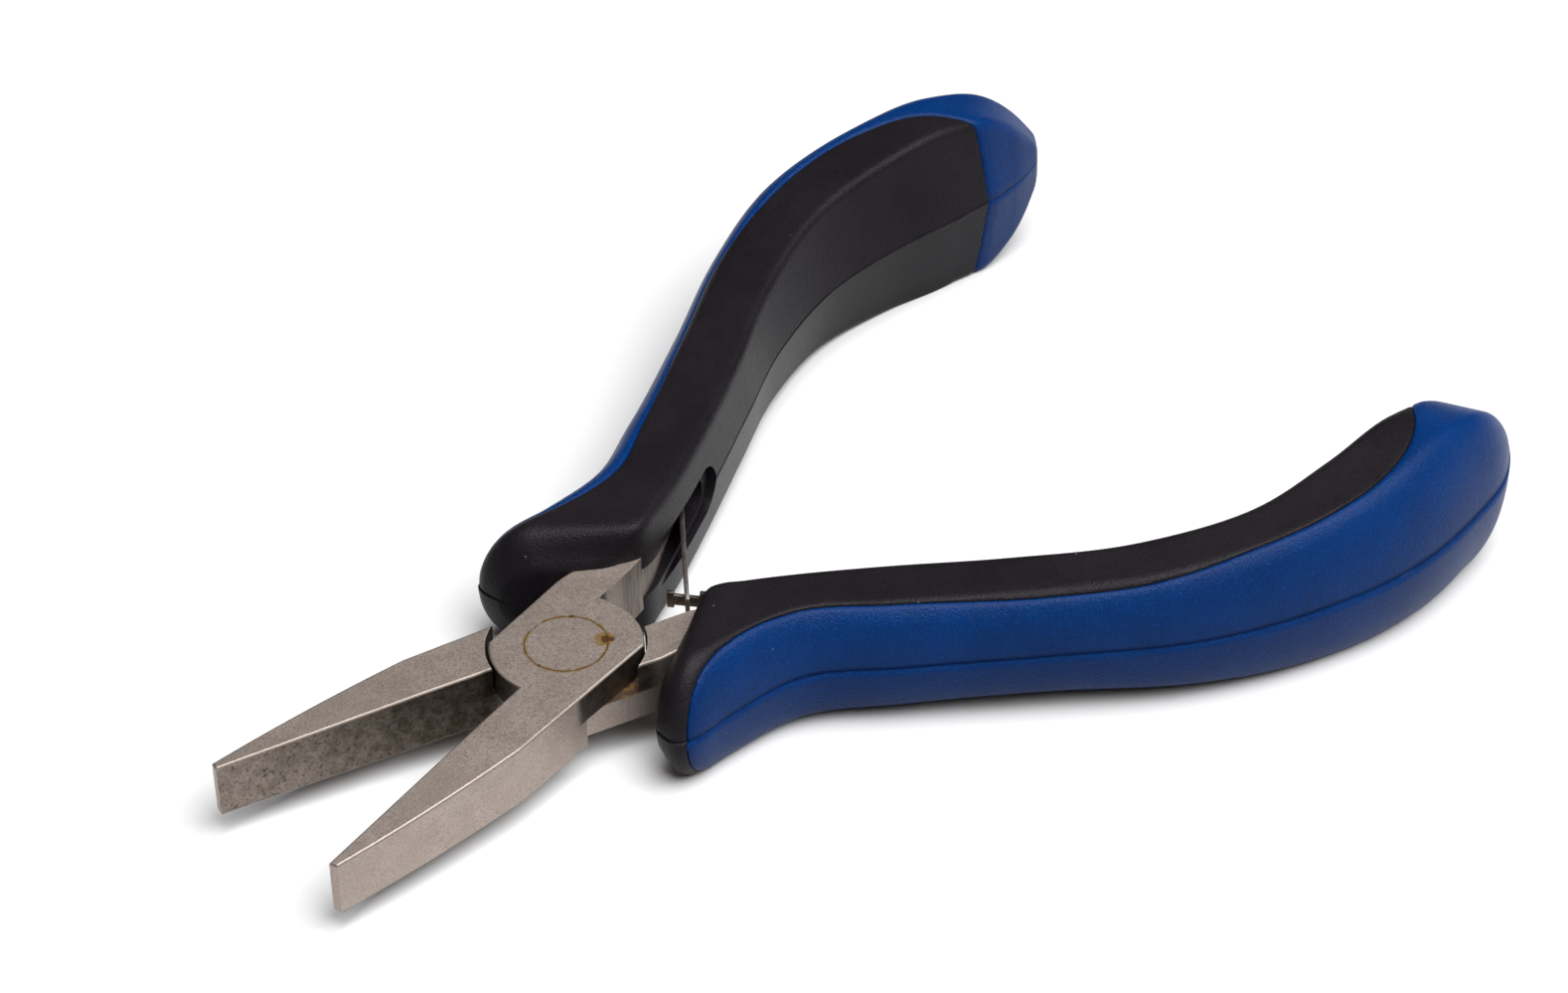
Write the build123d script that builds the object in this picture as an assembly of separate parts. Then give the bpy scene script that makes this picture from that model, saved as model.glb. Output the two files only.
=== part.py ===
from build123d import *
import os
from math import atan2, cos, degrees, hypot, radians, sin

# Flat-nose jewellery pliers with a lap joint, two leaf springs and two-part moulded grips.
# Millimetres and degrees. The pivot axis is Z, the jaws point to +X and the handles to -X.
# Everything is modelled about the joint's mid-plane, then raised so that z = 0 is the joint's underside.

# Head and joint
open_angle = 27.6            # between the jaw faces, tool at rest on its springs
joint_thickness = 6.5
joint_half_width = 6.4       # pivot axis to either straight side of the joint
plate_radius = 7.5           # rounded ends of each half-thickness plate
shoulder_radius = 7.8        # concave shoulders that the other lever's plate turns in
lap_gap = 0.04               # between the two plates' sliding faces
heel_ease = 0.05             # the straight side meets the plate's rounded heel this far inside the width
heel_middle = -22            # turn from -X to the middle of the plate's rounded heel
notch_middle = -28           # turn from +X to the middle of the plate's rounded front
neck_inner = 1.4             # centre line to the inner side of the steel behind the joint
neck_end = -12.0             # the neck's straight inner side ends here
joint_back = -7.0            # the joint's straight outer side ends here
outer_flow = (1, -0.1)       # direction in which the tang's outer side runs into the joint
head_back = -8.0             # rounded outlines end here, ahead of the tang
flat_face = 0.9              # upward part of the normal that counts as a flat face

# Jaws
jaw_length = 36.2            # pivot axis to jaw tip
jaw_tip_width = 0.95
jaw_tip_thickness = 5.9
jaw_kink = (14.6, 5.55)      # where the outer side turns from the joint into the taper
jaw_bulge = (24.8, 3.70)     # middle of the gently curved taper
jaw_face_gap = 0.05          # each jaw face to the closing plane
rim_radius = 0.25            # rounding of the jaws' and the joint's flat outlines

# Pivot rivet
rivet_radius = 3.2
rivet_head_radius = 4.0
rivet_head_depth = 1.3
rivet_clearance = 0.04       # radial, in the upper lever only

# Leaf springs
leaf_width = 2.5
leaf_thickness = 0.45
leaf_meeting_x = -15.1       # on the centre line, tool at rest
leaf_root = (-26.8, -5.9)    # hinge that stands for the leaf's bending, in its lever's frame
leaf_stub = 3.6              # leaf behind the root, held in a seat in the tang
leaf_swing = 16.4            # turn of the leaf against its lever from open to closed
seat_width = 1.5             # slot in the tang that the stub swings in
seat_reach = 0.5             # slot beyond the stub
seat_height = 3.3
leaf_end = 1.3               # slotted leaf beyond the meeting point
slot_length = 2.2
slot_height = 1.5
tongue_height = 1.2
tongue_length = 2.6          # narrow stretch of the other leaf, centred on the meeting point
head_height = 1.9
head_length = 0.7

# Handles: how far each one is turned outwards about the pivot from its nominal line
upper_lean = -1.0
lower_lean = 2.4

# Steel tang inside the grip, points of its two sides behind the joint
tang_inner = [(-15.6, -2.1), (-20.0, -3.9), (-27.0, -6.9), (-45.0, -12.9), (-60.0, -17.0), (-72.0, -17.9)]
tang_outer = [(-72.0, -20.9), (-60.0, -20.6), (-45.0, -16.8), (-27.0, -9.9), (-20.0, -7.0), (-12.0, -5.3)]

# Grip stations from nose to end: inner point, outer point, half thickness, lean of the inner side
grip_stations = [
    ((-12.4, -3.2), (-3.9, -12.1), 4.0, 0.2),
    ((-13.3, -2.2), (-3.9, -13.5), 5.9, 0.3),
    ((-15.1, -1.8), (-5.4, -15.0), 6.9, 0.4),
    ((-18.0, -2.2), (-10.2, -13.6), 7.0, 0.5),
    ((-22.5, -3.1), (-18.2, -11.9), 6.8, 0.5),
    ((-31.0, -5.4), (-29.0, -15.0), 6.5, 0.6),
    ((-42.0, -9.3), (-43.0, -19.8), 6.5, 0.8),
    ((-53.0, -13.2), (-56.2, -24.3), 7.4, 1.3),
    ((-64.0, -14.8), (-67.6, -26.0), 8.6, 1.9),
    ((-73.7, -13.2), (-79.9, -24.4), 9.6, 2.1),
    ((-82.7, -10.6), (-89.8, -20.0), 10.0, 1.8),
    ((-89.1, -9.2), (-95.2, -16.1), 8.5, 1.2),
    ((-93.0, -9.1), (-97.5, -13.5), 5.8, 0.7),
    ((-95.3, -9.8), (-98.1, -12.2), 3.2, 0.3),
]
ridge_radius = 1.2
ridge_share = 0.3            # the most of the half thickness that the ridge's rounding takes
ridge_swell = 0.1            # fullness of that rounding
flat_share = 0.58            # of the width, from the inner side, that the flat face takes
side_fullness = 0.58         # how upright the outer side is where it meets the parting line
side_lead = 0.52             # how far the flat face leads into the outer side's curve

# Plan line between the grip core and the overmould, from the nose round to the end
colour_line = [
    (-3.0, -19.0), (-5.9, -14.8), (-10.3, -11.6), (-16.0, -9.6), (-20.0, -9.3), (-28.9, -12.2),
    (-42.6, -17.6), (-54.0, -21.5), (-62.3, -22.4), (-70.5, -22.2), (-77.6, -20.4), (-83.0, -17.0),
    (-86.2, -13.2), (-87.6, -10.5), (-87.8, -7.0), (-87.8, -3.0),
]

# Pocket in the grip's inner side that the leaf spring works in
pocket_half_height = 2.3
pocket_floor = (-12.0, -3.0)   # the floor's front end, inside the tang
pocket_slope = 17.9            # the floor runs with the tang, hidden behind its inner side
pocket_length = 20.5           # from there to the top of the arch
pocket_front = 12.0            # from there forwards, past the nose
pocket_reach = 8.0             # from the floor out past the inner side

# Block that holds everything on the overmould's side of that line
block_back = -110
block_side = -40
block_half_height = 20

joint_half = joint_thickness / 2
half_angle = open_angle / 2


def turned(point, angle):
    """A plan point turned about the pivot axis."""
    c = cos(radians(angle))
    s = sin(radians(angle))
    return (point[0] * c - point[1] * s, point[0] * s + point[1] * c)


def on_circle(radius, y, side):
    """The point of a circle about the pivot at height y, on the +X or -X side."""
    return (side * (radius ** 2 - y ** 2) ** 0.5, y)


def slab(outline, low, high):
    """A plan face raised into a solid between two heights."""
    return Pos(0, 0, low) * extrude(outline, high - low)


def lever_outline(lean):
    """Plan of one lever, jaw on the +Y side and tang on the -Y side."""
    tip = (jaw_length, jaw_face_gap)
    tip_outer = (jaw_length, jaw_face_gap + jaw_tip_width)
    heel = on_circle(plate_radius, joint_half_width - heel_ease, -1)
    neck = on_circle(plate_radius, -neck_inner, -1)
    neck_back = (neck_end, -neck_inner)
    side_back = (joint_back, -joint_half_width)
    notch = on_circle(plate_radius, -joint_half_width, 1)
    jaw_root = on_circle(plate_radius, jaw_face_gap, 1)
    inner = [turned(p, lean) for p in tang_inner]
    outer = [turned(p, lean) for p in tang_outer]
    sides = [
        Line(tip, tip_outer),
        ThreePointArc(tip_outer, jaw_bulge, jaw_kink),
        Line(jaw_kink, heel),
        ThreePointArc(heel, turned((-plate_radius, 0), heel_middle), neck),
        Line(neck, neck_back),
        Spline([neck_back] + inner, tangents=[(-1, 0), turned((-1, 0), lean)]),
        Line(inner[-1], outer[0]),
        Spline(outer + [side_back], tangents=[turned((1, 0), lean), outer_flow]),
        Line(side_back, notch),
        ThreePointArc(notch, turned((plate_radius, 0), notch_middle), jaw_root),
        Line(jaw_root, tip),
    ]
    return make_face(sides)


def jaw_wedges():
    """What the jaws' slight taper takes off above and below."""
    taper = degrees(atan2((joint_thickness - jaw_tip_thickness) / 2, jaw_length - jaw_kink[0]))
    above = Box(2 * jaw_length, 4 * joint_half_width, joint_half, align=(Align.MIN, Align.CENTER, Align.MIN))
    above = Pos(jaw_kink[0], 0, joint_half) * Rot(0, taper, 0) * above
    return above + mirror(above, Plane.XY)


def head_rims(body):
    """Edges where the head's upright sides meet its flat faces above and below."""
    rims = []
    for edge in body.edges().filter_by(lambda e: e.center().X > head_back):
        beside = [f for f in body.faces() if any(edge.is_same(other) for other in f.edges())]
        if sum(abs(f.normal_at().Z) > flat_face for f in beside) == 1:
            rims.append(edge)
    return rims


def lever(lean, bore_clearance):
    """Jaw, upper half of the lap joint and tang in one forging."""
    body = slab(lever_outline(lean), -joint_half, joint_half) - jaw_wedges()
    body = fillet(head_rims(body), rim_radius)
    body -= Pos(0, 0, -joint_half) * Cylinder(
        shoulder_radius, joint_half + lap_gap / 2, align=(Align.CENTER, Align.CENTER, Align.MIN))
    return body - rivet(bore_clearance) - leaf_seat()


def rivet(extra=0.0):
    """Pivot rivet with a countersunk head at each end, ground flush with the joint."""
    shank = Cylinder(rivet_radius + extra, joint_thickness)
    head = Cone(rivet_radius + extra, rivet_head_radius + extra, rivet_head_depth)
    top = Pos(0, 0, joint_half - rivet_head_depth / 2) * head
    return shank + top + mirror(top, Plane.XY)


def leaf_frame():
    """Direction and working length of a leaf in its own lever's frame."""
    meet = turned((leaf_meeting_x, 0), -half_angle)
    run = (meet[0] - leaf_root[0], meet[1] - leaf_root[1])
    return degrees(atan2(run[1], run[0])), hypot(*run)


def leaf_location(extra_turn=0.0):
    direction, _ = leaf_frame()
    return Pos(*leaf_root) * Rot(0, 0, direction + extra_turn)


def leaf_seat():
    """Slot in the tang that takes the leaf's stub, wide enough for it to swing in."""
    reach = 2 * (leaf_stub + seat_reach)
    return leaf_location(-leaf_swing / 2) * Box(reach, seat_width, seat_height)


def leaf(slotted):
    """One leaf, straight from its stub to the interlock, in its own lever's frame."""
    _, length = leaf_frame()
    reach = leaf_stub + length + (leaf_end if slotted else -tongue_length / 2)
    strip = Pos(reach / 2 - leaf_stub, 0, 0) * Box(reach, leaf_thickness, leaf_width)
    if slotted:
        strip -= Pos(length, 0, 0) * Box(slot_length, 4 * leaf_thickness, slot_height)
    else:
        head_x = length + (tongue_length + head_length) / 2
        strip += Pos(length, 0, 0) * Box(tongue_length, leaf_thickness, tongue_height)
        strip += Pos(head_x, 0, 0) * Box(head_length, leaf_thickness, head_height)
    return leaf_location() * strip


def grip_section(station):
    """Upright section face through one station of the grip."""
    inner, outer, half, lean = station
    dx = outer[0] - inner[0]
    dy = outer[1] - inner[1]
    width = hypot(dx, dy)
    plane = Plane(origin=(inner[0], inner[1], 0), x_dir=(dx, dy, 0), z_dir=(dy, -dx, 0))
    ridge = min(ridge_radius, ridge_share * half)
    flat_end = flat_share * width
    edges = []
    for side in (1, -1):
        edges += [
            Line((0, 0), (lean, side * (half - ridge))),
            Bezier((lean, side * (half - ridge)), (lean + ridge_swell, side * half),
                   (lean + ridge, side * half)),
            Line((lean + ridge, side * half), (flat_end, side * half)),
            Bezier((flat_end, side * half), (flat_end + side_lead * (width - flat_end), side * half),
                   (width, side * side_fullness * half), (width, 0)),
        ]
    return plane * make_face(edges)


def grip_blank():
    return loft([grip_section(s) for s in grip_stations])


def overmould_region():
    """Everything on the outer side of the line between the two mouldings."""
    line = Spline(colour_line)
    start, end = colour_line[0], colour_line[-1]
    far = [end, (block_back, end[1]), (block_back, block_side), (start[0], block_side), start]
    edges = [line] + [Line(a, b) for a, b in zip(far, far[1:])]
    return slab(make_face(edges), -block_half_height, block_half_height)


def pocket():
    """Arched pocket, open to the grip's inner side and to its nose."""
    back = pocket_half_height - pocket_length
    arch = Pos(back, pocket_reach / 2, 0) * Rot(90, 0, 0) * Cylinder(pocket_half_height, pocket_reach)
    hall = Box(pocket_front - back, pocket_reach, 2 * pocket_half_height,
               align=(Align.MIN, Align.MIN, Align.CENTER))
    return Pos(*pocket_floor, 0) * Rot(0, 0, pocket_slope) * (arch + Pos(back, 0, 0) * hall)


def grips(lean):
    """Grip core and overmould of one handle, in its lever's frame."""
    turn = Rot(0, 0, lean)
    blank = grip_blank()
    region = overmould_region()
    steel = slab(lever_outline(lean), -joint_half, joint_half)
    core = turn * (blank - region - pocket()) - steel
    outer = turn * (blank & region) - steel
    return core, outer


def placed(shape, upper):
    """A part from its lever's frame to its place: the lower lever is the upper one turned over."""
    over = Rot(0 if upper else 180, 0, 0)
    turn = Rot(0, 0, half_angle if upper else -half_angle)
    return Pos(0, 0, joint_half) * turn * over * shape


def build():
    nodes = {"pivot_rivet": Pos(0, 0, joint_half) * rivet()}
    for name, upper, lean in (("upper", True, upper_lean), ("lower", False, lower_lean)):
        core, overmould = grips(lean)
        nodes[name + "_lever"] = placed(lever(lean, rivet_clearance if upper else 0.0), upper)
        nodes[name + "_leaf_spring"] = placed(leaf(slotted=upper), upper)
        nodes[name + "_grip_core"] = placed(core, upper)
        nodes[name + "_grip_overmould"] = placed(overmould, upper)
    return nodes


os.makedirs("parts", exist_ok=True)
for node, shape in build().items():
    export_step(shape, f"parts/{node}.step")
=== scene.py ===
import math

import bmesh
import bpy
import numpy as np
from mathutils import Matrix, Vector


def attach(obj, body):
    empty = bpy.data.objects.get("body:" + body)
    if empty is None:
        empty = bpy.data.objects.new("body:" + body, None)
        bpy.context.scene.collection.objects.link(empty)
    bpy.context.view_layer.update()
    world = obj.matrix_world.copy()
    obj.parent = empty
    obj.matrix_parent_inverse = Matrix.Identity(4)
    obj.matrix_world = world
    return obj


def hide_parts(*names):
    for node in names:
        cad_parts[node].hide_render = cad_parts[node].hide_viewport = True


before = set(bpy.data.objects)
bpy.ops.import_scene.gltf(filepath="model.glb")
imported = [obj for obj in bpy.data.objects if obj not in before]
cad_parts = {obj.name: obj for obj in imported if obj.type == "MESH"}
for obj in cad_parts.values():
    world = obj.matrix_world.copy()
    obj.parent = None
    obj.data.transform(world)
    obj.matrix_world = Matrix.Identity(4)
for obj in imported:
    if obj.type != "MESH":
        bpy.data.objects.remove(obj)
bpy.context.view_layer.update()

# Flat-nose jewellery pliers. Shapes are worked out in millimetres in each lever's own frame (pivot axis
# Z, jaws to +X, handles to -X, mid-plane z = 0) and placed in metres in the row frame. The lower lever
# is turned over about X, so its own +Z side is the tool's underside.
MM = 0.001
SIDES = ("upper", "lower")
JOINT_HALF = 3.25            # half the lap joint's thickness
HALF_ANGLE = 13.8            # degrees from either jaw face to the centre line, tool at rest
LEANS = {"upper": -1.0, "lower": 2.4}   # degrees that each grip is turned in plan about the pivot

# Grip stations from nose to end: inner point, outer point, half thickness, lean of the inner side
STATIONS = [
    ((-12.4, -2.9), (-4.0, -12.1), 4.4, 0.2),
    ((-13.3, -1.95), (-3.9, -13.5), 6.2, 0.25),
    ((-15.2, -1.6), (-5.4, -15.0), 6.95, 0.3),
    ((-18.0, -2.0), (-10.2, -13.6), 7.0, 0.4),
    ((-22.5, -2.9), (-18.2, -11.9), 6.8, 0.5),
    ((-31.0, -5.4), (-29.0, -15.0), 6.5, 0.6),
    ((-42.0, -9.3), (-43.0, -19.8), 6.5, 0.8),
    ((-53.0, -13.2), (-56.2, -24.3), 7.4, 1.3),
    ((-64.0, -14.8), (-67.6, -26.0), 8.6, 1.9),
    ((-73.7, -13.2), (-79.9, -24.4), 9.6, 2.1),
    ((-82.7, -10.6), (-89.8, -20.0), 10.0, 1.8),
    ((-89.1, -9.2), (-95.2, -16.1), 7.9, 1.2),
    ((-93.0, -9.0), (-97.5, -13.3), 4.6, 0.7),
    ((-95.5, -9.4), (-98.3, -11.7), 2.2, 0.3),
]
# How far each grip stands off those stations, on its inner and outer side, and its share of thickness
SWELL = {
    "upper": ([0, 0, 0, 0, 0, 0, 0.2, 0.5, 0.6, 0.3, 0.1, 0, 0, 0],
              [-0.4, -0.2, 0.3, 0.6, 0.9, 0.4, 0.2, 0.3, 0.7, 0.2, 0.1, 0, 0.2, 0.2], 1.03),
    "lower": ([-0.3, -0.4, -0.4, -0.5, -0.4, -0.3, -0.5, -0.8, -0.5, 0.1, 0.2, 0, 0, 0],
              [0, 0, -0.2, -0.3, -0.6, -0.3, 0, -0.1, -0.7, -0.4, -0.3, -0.1, -0.2, -0.2], 0.97),
}
SWELL_START, SWELL_RUN = 3, 3           # station where the change of thickness begins, stations it takes
RISE = {"upper": 0.0, "lower": 0.40}    # degrees that the handle's end stands up
END_DROP = 1.9               # extra half thickness of the underside at the end of a grip
END_DROP_START, END_DROP_RUN = -90.0, 8.0
RIDGE_RADIUS = 1.2
RIDGE_SHARE = 0.3            # the most of the half thickness that the ridge's rounding takes
RIDGE_SWELL = 0.1            # fullness of that rounding
FLAT_SHARE = 0.67            # of the width, from the inner side, that the flat face takes
SIDE_FULLNESS, UNDER_FULLNESS = 0.50, 0.68    # of the outer side above and below the parting line
SIDE_LEAD = 0.52             # how far the flat face leads into the outer side's curve
ROWS_PER_MM = 2.0
SMOOTH_PASSES = 6
WALL_POINTS, RIDGE_POINTS, FLAT_POINTS, SIDE_POINTS = 9, 7, 12, 20
CAP_START = 38               # degrees round from the side at which the cap of a grip's nose or end begins
CAP_RADIUS = 2.6
CAP_DEPTH = 0.5              # of the cap, against its radius
CAP_RINGS = 9
PARTING_WIDTH = 0.15         # half width of the mould parting groove
PARTING_DEPTH = 0.18
PARTING_STEP = 0.14          # how far the outer side stands proud under the groove

# Plan line between the grip core and the overmould, from the nose round to the end
COLOUR_LINE = [
    (-3.0, -19.0), (-5.9, -14.8), (-10.3, -11.6), (-16.0, -9.6), (-20.0, -9.3), (-28.9, -12.2),
    (-42.6, -17.6), (-54.0, -21.5), (-62.3, -22.4), (-70.5, -22.2), (-77.6, -20.4), (-83.0, -17.0),
    (-85.7, -13.2), (-86.7, -10.5), (-86.8, -7.0), (-86.8, -3.0),
]
LINE_SAMPLES = 400
# Height of the skin against the distance from that line, positive on the overmould's side
SEAM_PROFILE = [
    (-0.25, 0.0), (-0.10, -0.03), (0.0, -0.16), (0.12, -0.02), (0.40, 0.08), (1.2, 0.14), (4.0, 0.0),
]
SNAP = 1e-9                  # distances below this count as on the line
SNAP_HEIGHT = 1e-6           # and heights below this as on the parting line

# Pocket for the leaf spring
POCKET_FLOOR = (-12.0, -3.0)
POCKET_SLOPE = 17.9
POCKET_FRONT = 12.0
POCKET_REACH = 8.0
# Its two steps: half height, length from the floor's front end, height above the floor
POCKET_STEPS = [(2.8, 19.7, 2.6), (1.8, 17.8, 0.0)]
POCKET_ARCH_STEPS = 32
POCKET_EDGE_ANGLE = 40       # degrees above which the core's edges stay sharp

# Leaf springs
LEAF_MEETING_X = -15.1
LEAF_ROOT = (-26.8, -5.9)
LEAF_WIDTH, LEAF_THICKNESS, LEAF_STUB, LEAF_END = 2.5, 0.45, 3.6, 1.3
SLOT_LENGTH, SLOT_HEIGHT = 2.2, 1.5
TONGUE_HEIGHT, TONGUE_LENGTH, HEAD_HEIGHT, HEAD_LENGTH = 1.2, 2.6, 1.9, 0.7
LEAF_EDGE = 0.07             # rounding of its edges
LEAF_EDGE_ANGLE = 50
FLAT_ANGLE, SHARP_ANGLE = 0.01, 0.5     # radians: cells flatter than one join, edges past the other round


# ---------------------------------------------------------------- placement
def lever_matrix(side, lean=0.0, rise=0.0):
    """From a lever's own frame in millimetres to the row frame in metres."""
    turn = HALF_ANGLE if side == "upper" else -HALF_ANGLE
    m = Matrix.Translation((0, 0, JOINT_HALF * MM)) @ Matrix.Rotation(math.radians(turn), 4, "Z")
    m = m @ Matrix.Rotation(math.radians(rise), 4, "Y")
    if side == "lower":
        m = m @ Matrix.Rotation(math.pi, 4, "X")
    return m @ Matrix.Rotation(math.radians(lean), 4, "Z") @ Matrix.Scale(MM, 4)


def object_from(name, bm, matrix):
    """Smooth-shaded mesh object from a bmesh, which is used up."""
    mesh = bpy.data.meshes.new(name)
    bmesh.ops.transform(bm, matrix=matrix, verts=bm.verts)
    bm.to_mesh(mesh)
    bm.free()
    for p in mesh.polygons:
        p.use_smooth = True
    obj = bpy.data.objects.new(name, mesh)
    bpy.context.scene.collection.objects.link(obj)
    return obj


def apply_modifiers(obj):
    """Replaces an object's mesh by the evaluated one."""
    graph = bpy.context.evaluated_depsgraph_get()
    made = bpy.data.meshes.new_from_object(obj.evaluated_get(graph))
    old = obj.data
    obj.modifiers.clear()
    obj.data = made
    bpy.data.meshes.remove(old)


# ---------------------------------------------------------------- grips
def hermite(keys, values, at):
    """Smooth curve through the values, with slopes weighted by the spacing of the keys."""
    h = np.diff(keys)
    d = np.diff(values, axis=0) / h[:, None]
    inside = (d[:-1] * h[1:, None] + d[1:] * h[:-1, None]) / (h[1:] + h[:-1])[:, None]
    slopes = np.vstack([d[:1], inside, d[-1:]])
    i = np.clip(np.searchsorted(keys, at, side="right") - 1, 0, len(h) - 1)
    t = ((at - keys[i]) / h[i])[:, None]
    w = h[i][:, None]
    return ((2 * t ** 3 - 3 * t ** 2 + 1) * values[i] + (t ** 3 - 2 * t ** 2 + t) * w * slopes[i]
            + (3 * t ** 2 - 2 * t ** 3) * values[i + 1] + (t ** 3 - t ** 2) * w * slopes[i + 1])


def arc_keys(points):
    """Running length along a row of points."""
    return np.concatenate([[0], np.cumsum(np.linalg.norm(np.diff(points, axis=0), axis=1))])


def bezier(points, t):
    """Point of a Bezier curve of any degree."""
    pts = [np.array(p, float) for p in points]
    while len(pts) > 1:
        pts = [a * (1 - t) + b * t for a, b in zip(pts, pts[1:])]
    return pts[0]


def half_section(width, half, lean, fullness):
    """Points of half a section, from the middle of the inner side to that of the outer side."""
    ridge = min(RIDGE_RADIUS, RIDGE_SHARE * half)
    wall_top = half - ridge
    flat_end = FLAT_SHARE * width
    lead = SIDE_LEAD * (width - flat_end)
    heights = [0, *np.linspace(PARTING_WIDTH, wall_top, WALL_POINTS)]
    pts = [(lean * z / wall_top, z) for z in heights]
    corner = [(lean, wall_top), (lean + RIDGE_SWELL, half), (lean + ridge, half)]
    pts += [bezier(corner, t) for t in np.linspace(0, 1, RIDGE_POINTS)[1:]]
    pts += [(u, half) for u in np.linspace(lean + ridge, flat_end, FLAT_POINTS)[1:]]
    side = [(flat_end, half), (flat_end + lead, half), (width, fullness * half), (width, 0)]
    last = 1 - PARTING_WIDTH / (3 * fullness * half)
    pts += [bezier(side, t) for t in np.linspace(0, last, SIDE_POINTS)[1:]] + [(width, 0)]
    return np.array([(u, z) for u, z in pts])


def swollen(side):
    """The stations of one handle's moulding, a row of numbers for each."""
    inner, outer, share = SWELL[side]
    rows = np.array([[*a, *b, h, lean] for a, b, h, lean in STATIONS])
    outward = rows[:, 2:4] - rows[:, 0:2]
    outward /= np.linalg.norm(outward, axis=1)[:, None]
    rows[:, 0:2] -= outward * np.array(inner)[:, None]
    rows[:, 2:4] += outward * np.array(outer)[:, None]
    part = np.clip((np.arange(len(rows)) - SWELL_START) / SWELL_RUN, 0, 1)
    rows[:, 4] *= 1 + (share - 1) * part
    return rows


def section_ring(side, width, half, lean, drop):
    """One closed section of a grip, as distances across and heights."""
    top = half_section(width, half, lean, SIDE_FULLNESS)
    under = half_section(width, half + drop, lean, UNDER_FULLNESS)
    under[:, 0] += PARTING_STEP * np.clip(under[:, 0] / width, 0, 1) ** 4
    first, second = (top, under) if side == "upper" else (under, top)
    first[0, 0] = PARTING_DEPTH
    first[-1, 0] = width - PARTING_DEPTH
    return np.vstack([first, second[-2:0:-1] * (1, -1)])


def grip_rings(side):
    """Rings of points from nose to end, each closed round the section."""
    rows = swollen(side)
    keys = arc_keys((rows[:, 0:2] + rows[:, 2:4]) / 2)
    fine = hermite(keys, rows, np.linspace(0, keys[-1], int(keys[-1] * ROWS_PER_MM)))
    for _ in range(SMOOTH_PASSES):
        fine[1:-1] = (fine[:-2] + 2 * fine[1:-1] + fine[2:]) / 4
    rings = []
    for ax, ay, bx, by, half, lean in fine:
        width = math.hypot(bx - ax, by - ay)
        drop = END_DROP * float(np.clip((END_DROP_START - bx) / END_DROP_RUN, 0, 1))
        u, z = section_ring(side, width, half, lean, drop).T
        rings.append(np.column_stack([ax + u * (bx - ax) / width, ay + u * (by - ay) / width, z]))
    return rings


def cap_rings(ring, beyond):
    """Rings that carry a grip's rounding on, from its last section towards the middle."""
    centre = ring.mean(axis=0)
    out = centre - beyond.mean(axis=0)
    out /= np.linalg.norm(out)
    spread = np.linalg.norm(ring - centre, axis=1).mean()
    start = math.radians(CAP_START)
    rings = []
    for k in range(1, CAP_RINGS + 1):
        a = start + (math.pi / 2 - start) * k / CAP_RINGS
        shrink = 1 - CAP_RADIUS * (math.cos(start) - math.cos(a)) / spread
        forward = CAP_RADIUS * CAP_DEPTH * (math.sin(a) - math.sin(start))
        rings.append(centre + (ring - centre) * shrink + out * forward)
    return rings


def colour_side(points):
    """Signed plan distance to the colour line, positive on the overmould's side."""
    line = np.array(COLOUR_LINE)
    keys = arc_keys(line)
    line = hermite(keys, line, np.linspace(0, keys[-1], LINE_SAMPLES))
    best = np.full(len(points), np.inf)
    side = np.ones(len(points))
    for start, run in zip(line[:-1], np.diff(line, axis=0)):
        rel = points[:, :2] - start
        t = np.clip((rel @ run) / (run @ run), 0, 1)
        dist = np.linalg.norm(rel - t[:, None] * run, axis=1)
        near = dist < best
        best[near] = dist[near]
        side[near] = np.where(run[0] * rel[near, 1] - run[1] * rel[near, 0] > 0, 1, -1)
    return best * side


def cut_at(verts, faces, value, level):
    """Splits faces along a level of a value given at the vertices."""
    made = {}

    def crossing(i, j):
        key = (min(i, j), max(i, j))
        if key not in made:
            t = (level - value[i]) / (value[j] - value[i])
            made[key] = len(verts)
            verts.append(verts[i] + t * (verts[j] - verts[i]))
            value.append(level)
        return made[key]

    result = []
    for face in faces:
        off = [value[i] - level for i in face]
        if max(off) <= SNAP or min(off) >= -SNAP:
            result.append(face)
            continue
        high, low = [], []
        for i, j in zip(face, face[1:] + face[:1]):
            here, there = value[i] - level, value[j] - level
            if here >= -SNAP:
                high.append(i)
            if here <= SNAP:
                low.append(i)
            if here * there < 0 and min(abs(here), abs(there)) > SNAP:
                c = crossing(i, j)
                high.append(c)
                low.append(c)
        result += [f for f in (high, low) if len(f) > 2]
    return result


def closing_faces(ring):
    """Faces that close a ring of vertices by joining its two halves, each once."""
    n = len(ring)
    faces = []
    for k in range(n // 2):
        corners = [ring[k], ring[(k + 1) % n], ring[(n - k - 1) % n], ring[(n - k) % n]]
        corners = list(dict.fromkeys(corners))
        if len(corners) > 2:
            faces.append(corners)
    return faces


def grip_surface(side):
    """The whole grip as one closed skin: vertices, faces and each vertex's distance to the colour line."""
    rings = grip_rings(side)
    rings = cap_rings(rings[0], rings[1])[::-1] + rings + cap_rings(rings[-1], rings[-2])
    n = len(rings[0])
    verts = [p for ring in rings for p in ring]
    faces = []
    for r in range(len(rings) - 1):
        for k in range(n):
            faces.append([r * n + k, (r + 1) * n + k, (r + 1) * n + (k + 1) % n, r * n + (k + 1) % n])
    last = (len(rings) - 1) * n
    faces += closing_faces(range(n))
    faces += [face[::-1] for face in closing_faces(range(last, last + n))]
    value = list(colour_side(np.array(verts)))
    for level, _ in SEAM_PROFILE:
        faces = cut_at(verts, faces, value, level)
    return verts, faces, value


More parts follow.
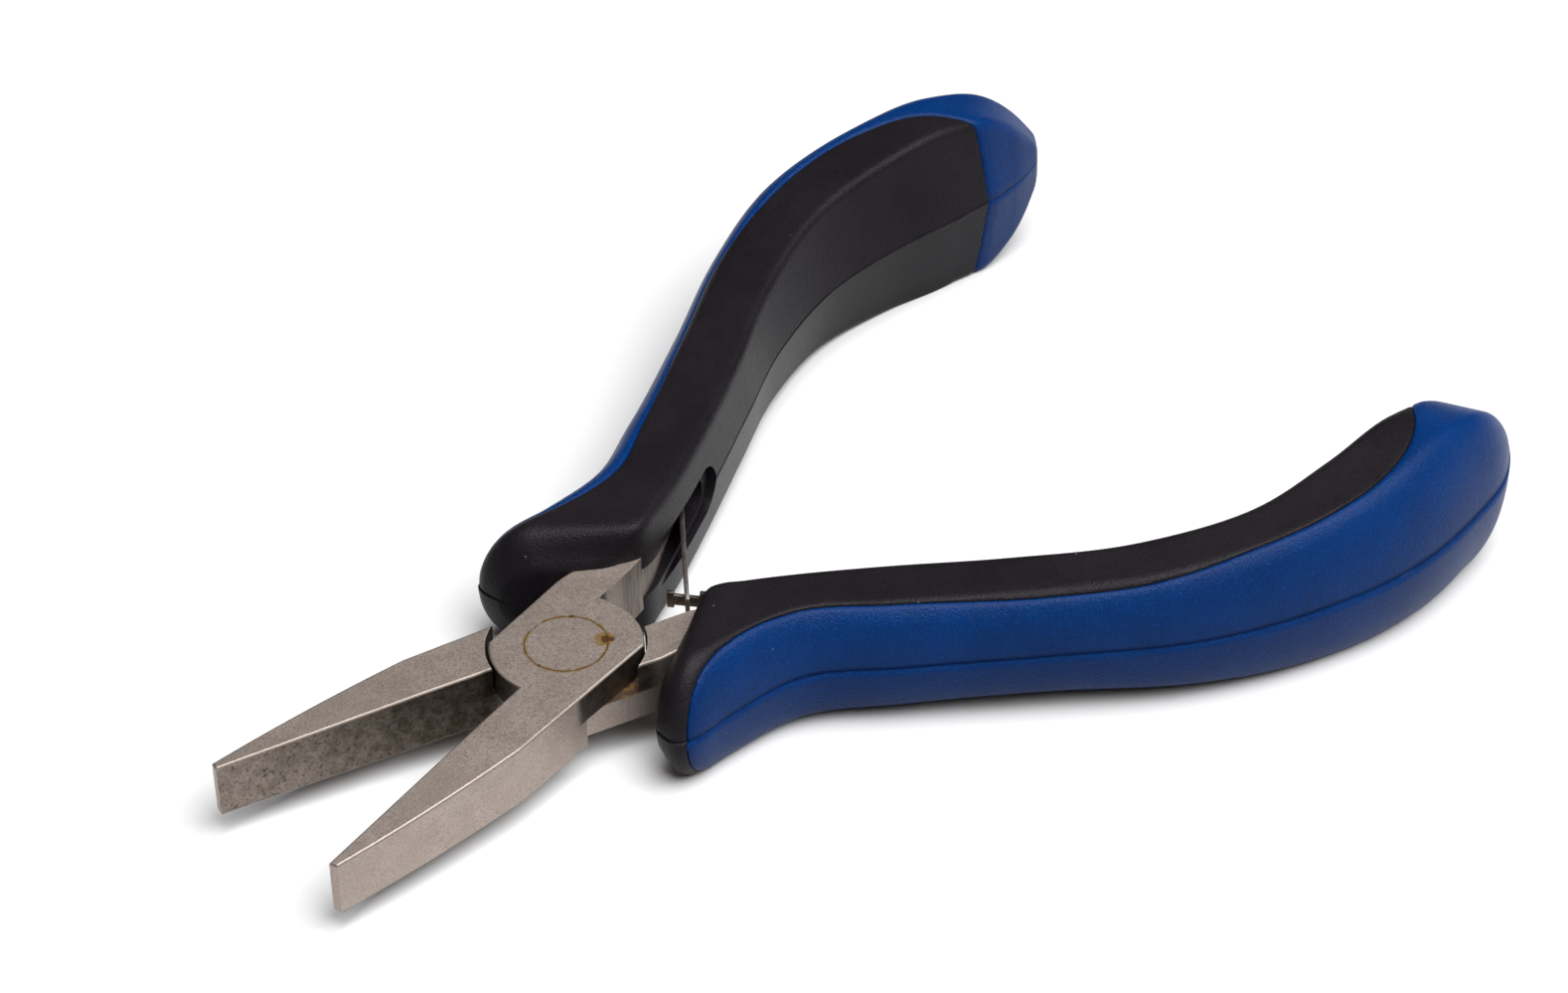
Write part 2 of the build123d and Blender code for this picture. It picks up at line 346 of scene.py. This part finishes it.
def vertex_normals(verts, faces):
    """Outward normals, as the mean of the faces round each vertex."""
    v = np.array(verts)
    normals = np.zeros_like(v)
    for face in faces:
        p = v[face]
        n = np.cross(p, np.roll(p, -1, axis=0)).sum(axis=0)
        normals[face] += n
    return normals / np.maximum(np.linalg.norm(normals, axis=1), 1e-12)[:, None]


def closed_part(verts, faces, value, outer):
    """One moulding: its share of the skin, closed along the colour line by an upright wall."""
    sign = 1 if outer else -1
    mine = [f for f in faces if sum(value[i] for i in f) * sign > 0]
    used = sorted({i for f in mine for i in f})
    bm = bmesh.new()
    made = {i: bm.verts.new(verts[i]) for i in used}
    for f in mine:
        bm.faces.new([made[i] for i in f])
    follow = {}
    for edge in bm.edges:
        if edge.is_boundary:
            loop = edge.link_loops[0]
            follow[loop.link_loop_next.vert] = loop.vert
    ring = [min(follow, key=lambda v: (abs(v.co.z) > SNAP_HEIGHT, -v.co.x))]
    while follow[ring[-1]] != ring[0]:
        ring.append(follow[ring[-1]])
    for corners in closing_faces(ring):
        if not bm.faces.get(corners):
            bm.faces.new(corners)
    bmesh.ops.recalc_face_normals(bm, faces=bm.faces)
    return bm


def pocket_cutter(half, length, above):
    """Arched prism, lying along the tang, that one step of the leaf spring's pocket is cut with."""
    bm = bmesh.new()
    back = half - length
    outline = [(POCKET_FRONT, -half), (POCKET_FRONT, half)]
    for k in range(POCKET_ARCH_STEPS + 1):
        a = math.pi / 2 + math.pi * k / POCKET_ARCH_STEPS
        outline.append((back + half * math.cos(a), half * math.sin(a)))
    low = [bm.verts.new((x, above, z)) for x, z in outline]
    high = [bm.verts.new((x, POCKET_REACH, z)) for x, z in outline]
    bm.faces.new(low)
    bm.faces.new(high[::-1])
    for a, b, c, d in zip(low, low[1:] + low[:1], high[1:] + high[:1], high):
        bm.faces.new((a, b, c, d))
    place = Matrix.Translation((*POCKET_FLOOR, 0)) @ Matrix.Rotation(math.radians(POCKET_SLOPE), 4, "Z")
    bmesh.ops.transform(bm, matrix=place, verts=bm.verts)
    bmesh.ops.recalc_face_normals(bm, faces=bm.faces)
    return bm


def cut_pocket(core, matrix):
    """Cuts the spring's stepped pocket into a grip core."""
    for step in POCKET_STEPS:
        cutter = object_from("cutter", pocket_cutter(*step), matrix)
        cut = core.modifiers.new("pocket", "BOOLEAN")
        cut.operation = "DIFFERENCE"
        cut.solver = "EXACT"
        cut.object = cutter
        apply_modifiers(core)
        bpy.data.objects.remove(cutter)
    core.data.set_sharp_from_angle(angle=math.radians(POCKET_EDGE_ANGLE))


def make_grips():
    """Both mouldings of both handles, in place of the plain ones."""
    pieces = {}
    levels, heights = zip(*SEAM_PROFILE)
    for side in SIDES:
        verts, faces, value = grip_surface(side)
        lift = np.interp(value, levels, heights)
        skin = np.array(verts) + vertex_normals(verts, faces) * lift[:, None]
        matrix = lever_matrix(side, LEANS[side], RISE[side])
        body = side + "_handle"
        for part, slot in (("core", "grip_black"), ("overmould", "grip_blue")):
            bm = closed_part(skin, faces, value, part == "overmould")
            obj = object_from(f"{side}_{part}_moulding", bm, matrix)
            if part == "core":
                cut_pocket(obj, matrix)
            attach(obj, body)
            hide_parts(f"{side}_grip_{part}")
            pieces[side, part] = obj
    return pieces


grips = make_grips()


# ---------------------------------------------------------------- leaf springs
def slotted_grid(length):
    """Lines along and across a leaf with a slot, and a test for the cells that it fills."""
    front, back = length - SLOT_LENGTH / 2, length + SLOT_LENGTH / 2
    edge, slot = LEAF_WIDTH / 2, SLOT_HEIGHT / 2
    xs = [-LEAF_STUB, front, back, length + LEAF_END]
    return xs, [-edge, -slot, slot, edge], lambda i, j: (i, j) != (1, 1)


def hooked_grid(length):
    """The same for a leaf with a narrow tongue and a T head."""
    front, back = length - TONGUE_LENGTH / 2, length + TONGUE_LENGTH / 2
    edge, tongue, head = LEAF_WIDTH / 2, TONGUE_HEIGHT / 2, HEAD_HEIGHT / 2
    xs = [-LEAF_STUB, front, back, back + HEAD_LENGTH]
    zs = [-edge, -head, -tongue, tongue, head, edge]
    return xs, zs, lambda i, j: i == 0 or j == 2 or (i == 2 and 1 <= j <= 3)


def leaf_bmesh(side):
    """One leaf, flat strip upright on its edge, running from its root to the interlock and past it."""
    turn = math.radians(-HALF_ANGLE)
    meet = (LEAF_MEETING_X * math.cos(turn), LEAF_MEETING_X * math.sin(turn))
    run = (meet[0] - LEAF_ROOT[0], meet[1] - LEAF_ROOT[1])
    grid = slotted_grid if side == "upper" else hooked_grid
    xs, zs, filled = grid(math.hypot(*run))
    bm = bmesh.new()
    at = {}
    for i, x in enumerate(xs):
        for j, z in enumerate(zs):
            at[i, j] = bm.verts.new((x, -LEAF_THICKNESS / 2, z))
    for i in range(len(xs) - 1):
        for j in range(len(zs) - 1):
            if filled(i, j):
                bm.faces.new((at[i, j], at[i + 1, j], at[i + 1, j + 1], at[i, j + 1]))
    bmesh.ops.delete(bm, geom=[v for v in bm.verts if not v.link_faces], context="VERTS")
    bmesh.ops.dissolve_limit(bm, angle_limit=FLAT_ANGLE, verts=bm.verts, edges=bm.edges)
    top = bmesh.ops.extrude_face_region(bm, geom=list(bm.faces))
    moved = [g for g in top["geom"] if isinstance(g, bmesh.types.BMVert)]
    bmesh.ops.translate(bm, verts=moved, vec=(0, LEAF_THICKNESS, 0))
    bmesh.ops.recalc_face_normals(bm, faces=bm.faces)
    sharp = [e for e in bm.edges if e.calc_face_angle(0) > SHARP_ANGLE]
    bmesh.ops.bevel(bm, geom=sharp, offset=LEAF_EDGE, segments=2, profile=0.5, affect="EDGES")
    place = Matrix.Translation((*LEAF_ROOT, 0)) @ Matrix.Rotation(math.atan2(run[1], run[0]), 4, "Z")
    bmesh.ops.transform(bm, matrix=place, verts=bm.verts)
    return bm


def make_leaf(side):
    """One leaf as a piece of its own, in place of the plain one."""
    leaf = object_from(f"{side}_leaf_strip", leaf_bmesh(side), lever_matrix(side))
    leaf.data.set_sharp_from_angle(angle=math.radians(LEAF_EDGE_ANGLE))
    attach(leaf, side + "_leaf")
    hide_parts(side + "_leaf_spring")
    return leaf


leaves = {side: make_leaf(side) for side in SIDES}


# ---------------------------------------------------------------- materials
BLOB_RAGGEDNESS = 1.2        # waves per millimetre in a blob's outline
BLOB_CORE = 0.55             # share of its radius that is solid


class Nodes:
    """Small helper that writes a material's node tree as expressions. Lengths are in millimetres."""

    def __init__(self, name):
        self.mat = bpy.data.materials.new(name)
        self.mat.use_nodes = True
        self.tree = self.mat.node_tree
        self.tree.nodes.clear()
        out = self.new("OutputMaterial")
        self.bsdf = self.new("BsdfPrincipled")
        self.tree.links.new(self.bsdf.outputs[0], out.inputs[0])
        coords = self.new("TexCoord")
        self.place = self.vector("MULTIPLY", coords.outputs["Object"], (1 / MM, 1 / MM, 1 / MM))
        self.normal = coords.outputs["Normal"]
        self.x, self.y, self.z = self.parts(self.place)
        self.nz = self.parts(self.normal)[2]

    def new(self, kind):
        return self.tree.nodes.new("ShaderNode" + kind)

    def put(self, socket, value):
        """Links a socket, or sets it to a constant."""
        if isinstance(value, bpy.types.NodeSocket):
            self.tree.links.new(value, socket)
        else:
            if socket.type == "RGBA" and len(value) == 3:
                value = (*value, 1.0)
            socket.default_value = value

    def parts(self, vector):
        n = self.new("SeparateXYZ")
        self.put(n.inputs[0], vector)
        return n.outputs

    def vector(self, op, a, b):
        n = self.new("VectorMath")
        n.operation = op
        self.put(n.inputs[0], a)
        self.put(n.inputs[1], b)
        return n.outputs["Value"] if op == "DOT_PRODUCT" else n.outputs[0]

    def math(self, op, a, b=None):
        n = self.new("Math")
        n.operation = op
        self.put(n.inputs[0], a)
        if b is not None:
            self.put(n.inputs[1], b)
        return n.outputs[0]

    def chain(self, op, values):
        out = values[0]
        for v in values[1:]:
            out = self.math(op, out, v)
        return out

    def mul(self, *values):
        return self.chain("MULTIPLY", values)

    def add(self, *values):
        return self.chain("ADD", values)

    def most(self, *values):
        return self.chain("MAXIMUM", values)

    def step(self, value, low, high, to_low=0.0, to_high=1.0):
        """Smooth ramp between two values."""
        n = self.new("MapRange")
        n.interpolation_type = "SMOOTHSTEP"
        self.put(n.inputs["Value"], value)
        n.inputs["From Min"].default_value = low
        n.inputs["From Max"].default_value = high
        n.inputs["To Min"].default_value = to_low
        n.inputs["To Max"].default_value = to_high
        return n.outputs[0]

    def noise(self, per_mm, detail=3.0, roughness=0.5, stretch=None):
        at = self.place if stretch is None else self.vector("MULTIPLY", self.place, stretch)
        n = self.new("TexNoise")
        self.put(n.inputs["Vector"], at)
        n.inputs["Scale"].default_value = per_mm
        n.inputs["Detail"].default_value = detail
        n.inputs["Roughness"].default_value = roughness
        return n.outputs[0]

    def specks(self, per_mm, size, share):
        """Sparse round specks: one in each cell whose random value falls under the share."""
        n = self.new("TexVoronoi")
        self.put(n.inputs["Vector"], self.place)
        n.inputs["Scale"].default_value = per_mm
        near = self.step(n.outputs["Distance"], size * 0.5, size, 1.0, 0.0)
        pick = self.new("SeparateColor")
        self.put(pick.inputs[0], n.outputs["Color"])
        return self.mul(near, self.math("LESS_THAN", pick.outputs[0], share))

    def mix(self, factor, a, b):
        n = self.new("Mix")
        n.data_type = "RGBA"
        self.put(n.inputs[0], factor)
        self.put(n.inputs[6], a)
        self.put(n.inputs[7], b)
        return n.outputs[2]

    def plan_distance(self, x=0.0, y=0.0):
        dx = self.math("SUBTRACT", self.x, x)
        dy = self.math("SUBTRACT", self.y, y)
        return self.math("SQRT", self.add(self.mul(dx, dx), self.mul(dy, dy)))

    def blob(self, x, y, radius):
        """Soft-edged patch about a plan point, with a ragged outline."""
        wobble = self.math("SUBTRACT", self.noise(BLOB_RAGGEDNESS), 0.5)
        dist = self.add(self.plan_distance(x, y), self.mul(wobble, radius))
        return self.step(dist, radius * BLOB_CORE, radius, 1.0, 0.0)

    def bump(self, height, depth, under=None):
        n = self.new("Bump")
        n.inputs["Strength"].default_value = 1.0
        n.inputs["Distance"].default_value = depth * MM
        self.put(n.inputs["Height"], height)
        if under is not None:
            self.put(n.inputs["Normal"], under)
        return n.outputs[0]

    def finish(self, colour, roughness, metallic, normal, specular=None):
        self.put(self.bsdf.inputs["Base Color"], colour)
        self.put(self.bsdf.inputs["Roughness"], roughness)
        self.bsdf.inputs["Metallic"].default_value = metallic
        self.put(self.bsdf.inputs["Normal"], normal)
        if specular is not None:
            self.bsdf.inputs["Specular IOR Level"].default_value = specular
        return self.mat


# Base colours of the steel, its soil and wear, and of the painted shade on its edges, joint walls and
# gripping faces
LIGHT_STEEL = (0.415, 0.352, 0.312)
DARK_STEEL = (0.370, 0.310, 0.270)
SPECK_BROWN = (0.10, 0.075, 0.06)
# Painted shade for the tilted faces of the edges' rounding
EDGE_PAINTED_SHADE = (0.10, 0.09, 0.08)
STAIN_BROWN = (0.055, 0.022, 0.008)
STAIN_YELLOW = (0.31, 0.185, 0.045)
# Painted shade on the joint's walls, for the shadow and the dark grip's reflection
JOINT_WALL_SHADE = (0.030, 0.023, 0.017)
# Patchy film on the gripping faces, partly painted shade between the jaws
JAW_FILM_AND_SHADE = (0.060, 0.048, 0.034)
JAW_PITS = (0.02, 0.015, 0.011)
BRUSHED_STEEL = (0.13, 0.11, 0.095)
# Light and dark tone and roughness of each leaf
LEAF_STEEL = {
    "upper": ((0.50, 0.45, 0.42), (0.30, 0.26, 0.23), 0.32),
    "lower": ((0.16, 0.125, 0.10), (0.07, 0.055, 0.045), 0.42),
}

JOINT_TOP = 2 * JOINT_HALF
RIVET_RING = 4.02            # radius of the edge of the rivet's head
# Stains beside that ring: plan place and radius
STAIN_PATCH = (-3.15, 2.05, 1.25)
STAIN_SPOTS = [(-3.2, 2.05, 0.68), (-3.62, 2.45, 0.5), (-2.94, -2.78, 0.32), (3.95, 0.73, 0.25)]
# Reach of the painted shade on the joint's walls
WALL_SHADE_REACH = {"upper": (8.0, 8.8), "lower": (8.4, 9.6)}   # from the pivot, solid to, gone from


def steel(name, light, dark, marks=None, rough=0.48):
    """Blasted steel: cloudy tone, fine grain, dark specks and painted shade on the edges' tilted faces;
    marks(nodes, colour, roughness) adds stains, and on the levers painted shade.
    """
    n = Nodes(name)
    cloud = n.noise(0.35, 4.0, 0.6)
    grain = n.noise(5.0, 3.0, 0.7)
    fleck = n.noise(9.0, 1.0, 0.5)
    colour = n.mix(n.step(cloud, 0.3, 0.7), dark, light)
    colour = n.mix(n.step(grain, 0.32, 0.60, 0.6, 0.0), colour, [0.5 * c for c in dark])
    colour = n.mix(n.step(fleck, 0.60, 0.74, 0.0, 0.35), colour, [min(1.0, 1.5 * c) for c in light])
    colour = n.mix(n.mul(n.specks(1.3, 0.11, 0.22), 0.7), colour, SPECK_BROWN)
    roughness = n.add(rough - 0.05, n.mul(grain, 0.12), n.mul(cloud, 0.04))
    if marks:
        colour, roughness = marks(n, colour, roughness)
    # Painted shade: the tilted faces of the edges' rounding are darkened to dim their highlight
    tilt = n.math("ABSOLUTE", n.nz)
    edge = n.mul(n.step(tilt, 0.2, 0.4), n.step(tilt, 0.85, 0.95, 1.0, 0.0))
    colour = n.mix(n.mul(edge, 0.62), colour, EDGE_PAINTED_SHADE)
    roughness = n.add(roughness, n.mul(edge, 0.18))
    normal = n.bump(grain, 0.018)
    normal = n.bump(n.noise(1.3, 3.0), 0.01, normal)
    return n.finish(colour, roughness, 1.0, normal)


def ring_stain(n, colour, roughness):
    """Oily brown ring where the rivet's head meets the joint's upper face, with a patch and spots."""
    off = n.math("ABSOLUTE", n.math("SUBTRACT", n.plan_distance(), RIVET_RING))
    ragged = n.noise(1.1, 3.0, 0.6)
    top = n.step(n.z, JOINT_TOP - 0.2, JOINT_TOP - 0.05)
    halo = n.step(n.math("SUBTRACT", off, n.mul(ragged, 0.45)), -0.15, 0.10, 1.0, 0.0)
    halo = n.mul(halo, n.step(ragged, 0.38, 0.56), top)
    line = n.mul(n.step(off, 0.03, 0.10, 1.0, 0.0), n.step(ragged, 0.25, 0.5, 0.45, 1.0), top)
    patch = n.mul(n.blob(*STAIN_PATCH), top)
    spots = n.mul(n.most(*[n.blob(*spot) for spot in STAIN_SPOTS]), top)
    dark = n.most(line, spots)
    colour = n.mix(n.mul(halo, 0.8), colour, STAIN_YELLOW)
    colour = n.mix(n.mul(patch, 0.8), colour, STAIN_YELLOW)
    colour = n.mix(n.mul(dark, 0.88), colour, STAIN_BROWN)
    return colour, n.add(roughness, n.mul(dark, 0.15))


def jaw_film_and_shade(n, colour, roughness, inward, mottle):
    """Dark patchy film on the gripping face, with pits; the film deepens towards the throat as painted
    shade between the jaws and thins out towards the tip.
    """
    facing = n.step(n.vector("DOT_PRODUCT", n.normal, inward), 0.97, 0.995)
    jaw = n.mul(facing, n.step(n.x, 6.0, 8.5))
    # Painted shade: darker towards the throat, where the jaws shade and darkly reflect each other
    depth = n.step(n.x, 12.0, 32.0, 1.0, 0.0)
    film_and_shade = n.mul(jaw, n.add(n.step(mottle, 0.35, 0.65, 0.55, 0.25), n.mul(depth, 0.45)))
    pits = n.mul(jaw, n.step(n.noise(2.6, 4.0, 0.75), 0.52, 0.66))
    colour = n.mix(film_and_shade, colour, JAW_FILM_AND_SHADE)
    colour = n.mix(n.mul(pits, 0.8), colour, JAW_PITS)
    return colour, n.add(roughness, n.mul(film_and_shade, 0.12))


def painted_wall_shade(n, colour, side, mottle):
    """Painted shade on the joint's walls above the lap, standing in for the shadow and the dark grip's
    reflection there; on the lower lever it also dims the slanted edges' highlight, while the upper lever's
    slanted edges are left out.
    """
    low, high = (0.3, 0.6) if side == "upper" else (0.9, 0.97)
    walls = n.step(n.math("ABSOLUTE", n.nz), low, high, 1.0, 0.0)
    raised = n.step(n.z, JOINT_HALF - 0.15, JOINT_HALF + 0.15)
    within = n.step(n.plan_distance(), *WALL_SHADE_REACH[side], 1.0, 0.0)
    wall_shade = n.mul(walls, raised, within, n.step(mottle, 0.2, 0.7, 1.0, 0.80))
    return n.mix(wall_shade, colour, JOINT_WALL_SHADE)


def brushed_tang(n, colour, roughness):
    """Upright strokes on the tang's sides."""
    upright = n.step(n.math("ABSOLUTE", n.nz), 0.3, 0.6, 1.0, 0.0)
    tang = n.mul(upright, n.step(n.x, -11.5, -9.0, 1.0, 0.0))
    strokes = n.noise(2.6, 3.0, 0.6, stretch=(1, 1, 0.08))
    colour = n.mix(n.mul(tang, n.step(strokes, 0.35, 0.65, 0.58, 0.88)), colour, BRUSHED_STEEL)
    return colour, n.add(roughness, n.mul(tang, n.step(strokes, 0.4, 0.7, 0.05, 0.15)))


def lap_stain(n, colour):
    """Brown and yellow stain on the lower lever's face of the lap."""
    height = n.mul(n.step(n.z, JOINT_HALF - 0.25, JOINT_HALF - 0.1), n.step(n.z, 3.4, 3.6, 1.0, 0.0))
    lap = n.mul(height, n.step(n.nz, 0.5, 0.9))
    colour = n.mix(n.mul(lap, 0.85), colour, STAIN_BROWN)
    yellow = n.step(n.noise(1.2, 3.0), 0.45, 0.62)
    return n.mix(n.mul(lap, yellow, 0.6), colour, STAIN_YELLOW)


def lever_stains_and_shade(side):
    """The stains, brushing and painted shade of one lever, for steel()."""
    a = math.radians(HALF_ANGLE)
    inward = (math.sin(a), -math.cos(a) if side == "upper" else math.cos(a), 0)

    def marks(n, colour, roughness):
        mottle = n.noise(0.9, 5.0, 0.7)
        colour, roughness = jaw_film_and_shade(n, colour, roughness, inward, mottle)
        colour = painted_wall_shade(n, colour, side, mottle)
        colour, roughness = brushed_tang(n, colour, roughness)
        if side == "upper":
            return ring_stain(n, colour, roughness)
        return lap_stain(n, colour), roughness

    return marks


BLACK, BLACK_SHADE, BLACK_ROUGHNESS = (0.0060, 0.0048, 0.0063), (0.0080, 0.0066, 0.0082), 0.30
BLUE, BLUE_SHADE, BLUE_ROUGHNESS = (0.0003, 0.0170, 0.083), (0.0003, 0.0140, 0.068), 0.32
PLASTIC_SPECULAR = 0.07
DUST = (0.30, 0.30, 0.31)


def moulded(name, base, shade, rough):
    """Moulded grip plastic with a fine eroded texture, rubbed patches and a little dust."""
    n = Nodes(name)
    cloud = n.noise(0.12, 4.0, 0.6)
    fine = n.noise(5.0, 2.0, 0.55)
    rub = n.noise(0.6, 5.0, 0.7)
    colour = n.mix(n.step(cloud, 0.35, 0.65), base, shade)
    colour = n.mix(n.mul(n.specks(0.45, 0.045, 0.18), 0.35), colour, DUST)
    colour = n.mix(n.step(fine, 0.55, 0.70, 0.0, 0.45), colour, [2.2 * c for c in base])
    roughness = n.add(rough - 0.05, n.mul(cloud, 0.06), n.mul(rub, 0.08))
    return n.finish(colour, roughness, 0.0, n.bump(fine, 0.09), specular=PLASTIC_SPECULAR)


def set_material(obj, mat):
    obj.data.materials.clear()
    obj.data.materials.append(mat)


def dress():
    """Puts a material on every piece."""
    for side in SIDES:
        lever = steel(side + "_lever_steel", LIGHT_STEEL, DARK_STEEL, lever_stains_and_shade(side))
        set_material(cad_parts[side + "_lever"], lever)
        light, dark, rough = LEAF_STEEL[side]
        set_material(leaves[side], steel(side + "_leaf_steel", light, dark, rough=rough))
    rivet = steel("rivet_steel", LIGHT_STEEL, DARK_STEEL, ring_stain)
    set_material(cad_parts["pivot_rivet"], rivet)
    black = moulded("grip_core_plastic", BLACK, BLACK_SHADE, BLACK_ROUGHNESS)
    blue = moulded("grip_overmould_plastic", BLUE, BLUE_SHADE, BLUE_ROUGHNESS)
    for (_, part), obj in grips.items():
        set_material(obj, black if part == "core" else blue)


dress()


# ---------------------------------------------------------------- stage
FLOOR_POINT = (-82.0, -37.0, -7.1)      # under the upper handle's swell
FLOOR_SLOPES = (0.0377, 0.016)          # so that both swells and a nose rest on it
FLOOR_SIZE = 3000
FLOOR_TONES = [(0.50, 0.50, 0.505), (0.52, 0.52, 0.525)]
FLOOR_ROUGHNESS = 0.9


def make_floor():
    """Plain pale floor, sloped as the tool rests on it."""
    bm = bmesh.new()
    bmesh.ops.create_grid(bm, x_segments=4, y_segments=4, size=FLOOR_SIZE)
    for v in bm.verts:
        v.co.z = v.co.x * FLOOR_SLOPES[0] + v.co.y * FLOOR_SLOPES[1]
    floor = object_from("floor", bm, Matrix.Translation(Vector(FLOOR_POINT) * MM) @ Matrix.Scale(MM, 4))
    n = Nodes("floor_white")
    tone = n.mix(n.step(n.noise(0.004, 2.0), 0.3, 0.7), *FLOOR_TONES)
    paper = n.bump(n.noise(0.5, 2.0), 0.005)
    set_material(floor, n.finish(tone, FLOOR_ROUGHNESS, 0.0, paper, specular=0.1))


def area_light(name, place, aim, size, power):
    data = bpy.data.lights.new(name, "AREA")
    data.shape = "RECTANGLE"
    data.size, data.size_y = size
    data.energy = power
    lamp = bpy.data.objects.new(name, data)
    lamp.location = place
    lamp.rotation_euler = (Vector(aim) - Vector(place)).to_track_quat("-Z", "Y").to_euler()
    bpy.context.scene.collection.objects.link(lamp)


CAMERA_AZIMUTH, CAMERA_ELEVATION, CAMERA_ROLL = 139.59, 38.8, -1.65
CAMERA_DISTANCE = 490.92
CAMERA_TARGET = (-32.71, -5.66, 3.25)
CAMERA_LENS, CAMERA_SENSOR = 112.57, 36.0
CAMERA_CLIP = (0.01, 20.0)


def camera_axes():
    """Directions to the back, right and top of the camera."""
    a, e, r = (math.radians(v) for v in (CAMERA_AZIMUTH, CAMERA_ELEVATION, CAMERA_ROLL))
    back = Vector((math.sin(a) * math.cos(e), -math.cos(a) * math.cos(e), math.sin(e)))
    right = Vector((math.cos(a), math.sin(a), 0))
    up = back.cross(right)
    return back, right * math.cos(r) + up * math.sin(r), up * math.cos(r) - right * math.sin(r)


def make_camera():
    back, right, up = camera_axes()
    data = bpy.data.cameras.new("camera")
    data.sensor_fit = "HORIZONTAL"
    data.sensor_width = CAMERA_SENSOR
    data.lens = CAMERA_LENS
    data.clip_start, data.clip_end = CAMERA_CLIP
    camera = bpy.data.objects.new("camera", data)
    place = (Vector(CAMERA_TARGET) + back * CAMERA_DISTANCE) * MM
    m = Matrix((right, up, back)).transposed().to_4x4()
    m.translation = place
    camera.matrix_world = m
    bpy.context.scene.collection.objects.link(camera)
    bpy.context.scene.camera = camera


KEY_AIM = (-0.03, 0, 0)
KEY_NEARER, KEY_RIGHT, KEY_HEIGHT = 0.22, 0.32, 0.95     # metres from the aim, as the camera sees it
KEY_SIZE, KEY_POWER = (1.0, 1.0), 34.0
WORLD_STRENGTH = 0.065


def make_lights():
    """One large soft box overhead and a weak even surround."""
    back, right, _ = camera_axes()
    nearer = Vector((back.x, back.y, 0)).normalized()
    rightwards = Vector((right.x, right.y, 0)).normalized()
    aim = Vector(KEY_AIM)
    key = aim + nearer * KEY_NEARER + rightwards * KEY_RIGHT + Vector((0, 0, KEY_HEIGHT))
    area_light("key_softbox", key, aim, KEY_SIZE, KEY_POWER)
    world = bpy.data.worlds.new("studio")
    world.use_nodes = True
    background = world.node_tree.nodes["Background"]
    background.inputs["Color"].default_value = (1.0, 1.0, 1.0, 1.0)
    background.inputs["Strength"].default_value = WORLD_STRENGTH
    bpy.context.scene.world = world
    bpy.context.scene.view_settings.view_transform = "Standard"


make_floor()
make_camera()
make_lights()

bpy.context.view_layer.update()
